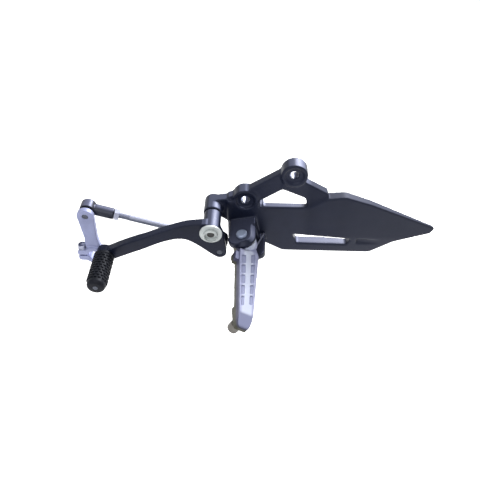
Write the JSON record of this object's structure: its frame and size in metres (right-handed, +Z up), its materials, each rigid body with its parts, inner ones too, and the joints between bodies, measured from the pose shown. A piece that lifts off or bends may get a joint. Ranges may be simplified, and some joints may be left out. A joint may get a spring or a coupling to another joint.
{
  "type": "motorcycle footpeg and shift lever assembly",
  "caption": "Cast hanger bracket with heel guard, folding footpeg with feeler, and a shift lever linked by a rod to its gearshift arm.",
  "frame": {"origin": "midway between the two frame bolt holes, on the flat face that meets the motorcycle frame", "axes": "+X rearwards along the heel guard, +Y inwards to the frame along the bolts, +Z up square to both; on the motorcycle the whole part is turned so that the footpeg tread lies level"},
  "size_m": [0.3668, 0.1432, 0.1146],
  "materials": {
    "black_paint": "satin black powder coat on cast alloy",
    "cast_alloy": "fine cast and lightly polished alloy",
    "arm_alloy": "matte cast alloy",
    "bright_steel": "bright zinc plated steel",
    "zinc_plate": "dull pale zinc plating",
    "dull_steel": "dull grey-brown steel",
    "bronze": "oiled bronze bush",
    "rubber": "matte moulded black rubber",
    "black_oxide": "black oxide steel"
  },
  "bodies": {
    "hanger": {"bracket": "black_paint", "hinge_pin": "bright_steel", "pin_washer": "bright_steel", "pin_clip": "bright_steel", "return_spring": "bright_steel", "pivot_bolt": "zinc_plate", "pivot_washer": "zinc_plate", "pivot_seal": "rubber"},
    "peg": {"footpeg": "cast_alloy", "feeler_bolt": "dull_steel"},
    "lever": {"shift_lever": "black_paint", "pivot_bush": "bronze", "toe_pin": "bright_steel", "toe_rubber": "rubber", "rear_ball_stud": "bright_steel", "rear_stud_nut": "bright_steel"},
    "rod": {"rear_boot": "rubber", "rear_rod_end": "black_oxide", "rear_cap": "black_oxide", "rear_locknut": "bright_steel", "link_rod": "bright_steel", "front_locknut": "bright_steel", "front_rod_end": "black_oxide", "front_cap": "black_oxide", "front_boot": "rubber"},
    "arm": {"front_ball_stud": "bright_steel", "front_stud_nut": "bright_steel", "shift_arm": "arm_alloy", "pinch_bolt": "bright_steel", "pinch_washer": "bright_steel"}
  },
  "joints": [
    {"name": "footpeg_fold", "type": "hinge", "parent": "hanger", "child": "peg", "pos_m": [-0.0228, -0.0395, -0.054], "axis": [-0.2079, 0, 0.9781], "range_deg": [0, 88], "stiffness_Nm_per_rad": 0.1, "springref_deg": -34.38},
    {"name": "lever_pivot", "type": "hinge", "parent": "hanger", "child": "lever", "pos_m": [-0.056, -0.037, -0.0265], "axis": [0, 1, 0], "range_deg": [-6, 7]},
    {"name": "rod_swing", "type": "hinge", "parent": "lever", "child": "rod", "pos_m": [-0.0485, -0.028, -0.057], "axis": [0, 1, 0], "range_deg": [-12, 12]},
    {"name": "shift_arm_swing", "type": "hinge", "parent": "rod", "child": "arm", "pos_m": [-0.179, -0.028, -0.017], "axis": [0, 1, 0], "range_deg": [-20, 20]}
  ]
}
